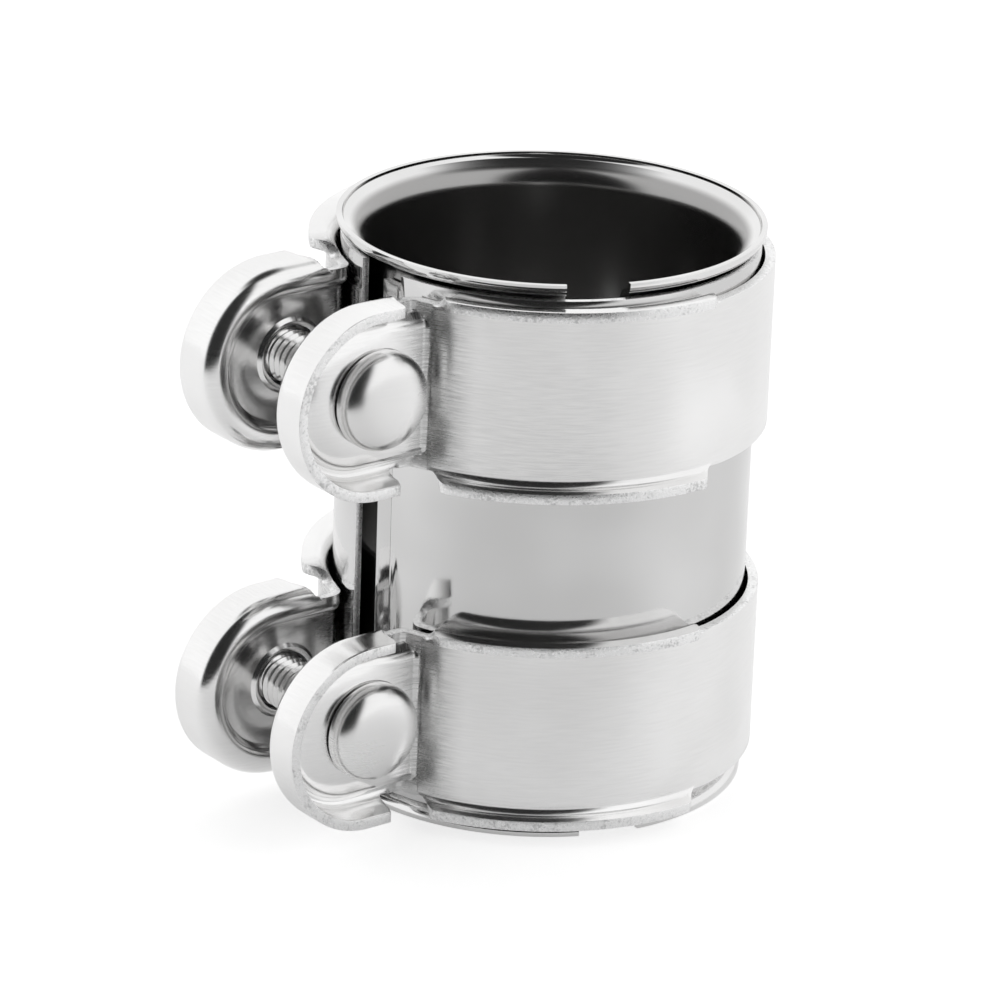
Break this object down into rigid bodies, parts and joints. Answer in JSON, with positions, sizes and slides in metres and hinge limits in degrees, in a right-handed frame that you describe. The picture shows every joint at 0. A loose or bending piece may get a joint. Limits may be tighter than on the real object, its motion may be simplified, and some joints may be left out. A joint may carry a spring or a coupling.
{
  "type": "exhaust pipe clamp",
  "caption": "Double clamp connector for exhaust pipes: slotted sleeve with flared liner rings, held by stamped band clamps drawn tight by domed bolts and nuts.",
  "frame": {"origin": "centre of the bounding box's base, level with the lower flare's rim. The pipe's axis is 10.8 mm from it towards +Y", "axes": "+Z along the pipe's axis, from the lower flare to the upper one. The ears point to -Y. The bolts lie along X, heads at +X, nuts at -X"},
  "size_m": [0.0684, 0.0852, 0.0822],
  "materials": {
    "upper_band": "stamped sheet, satin, brushed along the strip",
    "lower_band": "stamped sheet, satin, brushed along the strip",
    "sleeve": "rolled sheet, bright, near mirror",
    "upper_liner": "rolled and flared sheet, satin",
    "lower_liner": "rolled and flared sheet, satin",
    "upper_bolt": "plated, satin",
    "lower_bolt": "plated, satin",
    "upper_nut": "plated, satin",
    "lower_nut": "plated, satin",
    "upper_washer": "plated, satin",
    "lower_washer": "plated, satin"
  },
  "bodies": {
    "connector": {"upper_liner": "upper_liner", "lower_liner": "lower_liner", "sleeve": "sleeve", "upper_band": "upper_band", "lower_band": "lower_band", "upper_bolt": "upper_bolt", "lower_bolt": "lower_bolt"},
    "upper_washer_slider": {"upper_washer": "upper_washer"},
    "upper_nut_turner": {"upper_nut": "upper_nut"},
    "lower_washer_slider": {"lower_washer": "lower_washer"},
    "lower_nut_turner": {"lower_nut": "lower_nut"}
  },
  "joints": [
    {"name": "upper_nut_travel", "type": "slide", "parent": "connector", "child": "upper_washer_slider", "axis": [-1, 0, 0], "range_m": [0, 0.005]},
    {"name": "upper_nut_turn", "type": "hinge", "parent": "upper_washer_slider", "child": "upper_nut_turner", "pos_m": [-0.0132, -0.02723, 0.0657], "axis": [-1, 0, 0], "range_deg": [0, 1440]},
    {"name": "lower_nut_travel", "type": "slide", "parent": "connector", "child": "lower_washer_slider", "axis": [-1, 0, 0], "range_m": [0, 0.005]},
    {"name": "lower_nut_turn", "type": "hinge", "parent": "lower_washer_slider", "child": "lower_nut_turner", "pos_m": [-0.0132, -0.02723, 0.0165], "axis": [-1, 0, 0], "range_deg": [0, 1440]}
  ],
  "couplings": [
    {"joint": "upper_nut_travel", "follows": "upper_nut_turn", "m_per_rad": 0.00019894},
    {"joint": "lower_nut_travel", "follows": "lower_nut_turn", "m_per_rad": 0.00019894}
  ]
}
